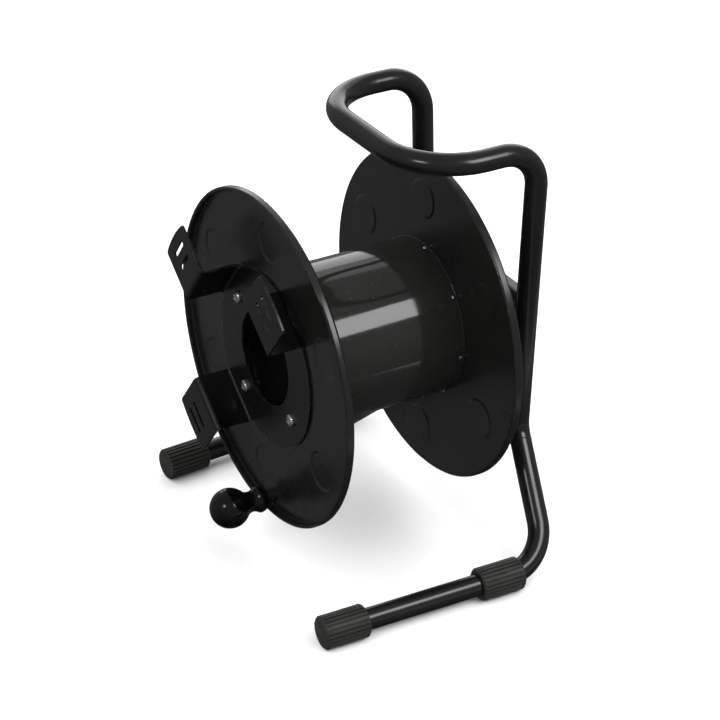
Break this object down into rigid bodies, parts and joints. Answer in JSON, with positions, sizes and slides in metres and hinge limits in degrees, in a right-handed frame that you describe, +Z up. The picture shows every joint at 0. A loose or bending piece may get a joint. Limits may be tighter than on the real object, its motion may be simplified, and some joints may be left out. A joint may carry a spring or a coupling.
{
  "type": "hand cable reel",
  "caption": "Free-standing hand reel: sheet steel drum on a fixed axle in a bent tube frame with carry handle, ribbed feet, crank knob and a slotted connector holder.",
  "frame": {"origin": "on the floor, under the middle of the bounding box; the drum axis is 203.6 mm above it", "axes": "+Z up; -Y is the front, the open side of the drum with the holder and the knob; +X is across, to the right when the front is seen"},
  "size_m": [0.3612, 0.288, 0.4051],
  "materials": {
    "frame_powder_coat": "gloss black powder coat",
    "drum_paint": "semi-gloss black paint",
    "core_paint": "gloss black paint",
    "holder_paint": "satin black paint",
    "plain_steel": "turned, bare",
    "zinc_steel": "bright zinc plate",
    "nylon": "natural nylon",
    "ribbed_rubber": "matte, ribbed",
    "knob_plastic": "moulded, gloss black"
  },
  "bodies": {
    "frame": {"upper_frame_tube": "frame_powder_coat", "cross_plate": "frame_powder_coat", "axle_doubler_plate": "frame_powder_coat", "axle": "plain_steel", "axle_spacer": "plain_steel", "axle_front_washer": "zinc_steel", "axle_circlip": "zinc_steel", "axle_rear_washer": "zinc_steel", "axle_lock_nut": "zinc_steel", "left_leg_tube": "frame_powder_coat", "left_joint_spigot": "plain_steel", "left_front_foot_cap": "ribbed_rubber", "left_rear_foot_sleeve": "ribbed_rubber", "right_leg_tube": "frame_powder_coat", "right_joint_spigot": "plain_steel", "right_front_foot_cap": "ribbed_rubber", "right_rear_foot_sleeve": "ribbed_rubber"},
    "reel": {"front_flange": "drum_paint", "rear_flange": "drum_paint", "drum_core": "core_paint", "core_front_ring": "drum_paint", "front_bearing_disc": "drum_paint", "rear_bearing_disc": "drum_paint", "front_hub": "drum_paint", "rear_hub": "drum_paint", "front_bush": "nylon", "rear_bush": "nylon", "connector_holder": "holder_paint", "holder_screws": "zinc_steel", "holder_nuts": "zinc_steel", "rear_flange_screws": "zinc_steel", "rear_flange_nuts": "zinc_steel", "crank_spindle": "zinc_steel", "crank_spacer": "drum_paint", "knob_screw": "zinc_steel"},
    "knob": {"crank_knob": "knob_plastic", "knob_cap": "knob_plastic"}
  },
  "joints": [
    {"name": "reel_spin", "type": "hinge", "parent": "frame", "child": "reel", "pos_m": [0, 0, 0.2036], "axis": [0, 1, 0], "continuous": true},
    {"name": "knob_spin", "type": "hinge", "parent": "reel", "child": "knob", "pos_m": [0.00521, -0.115, 0.0615], "axis": [0, 1, 0], "continuous": true}
  ]
}
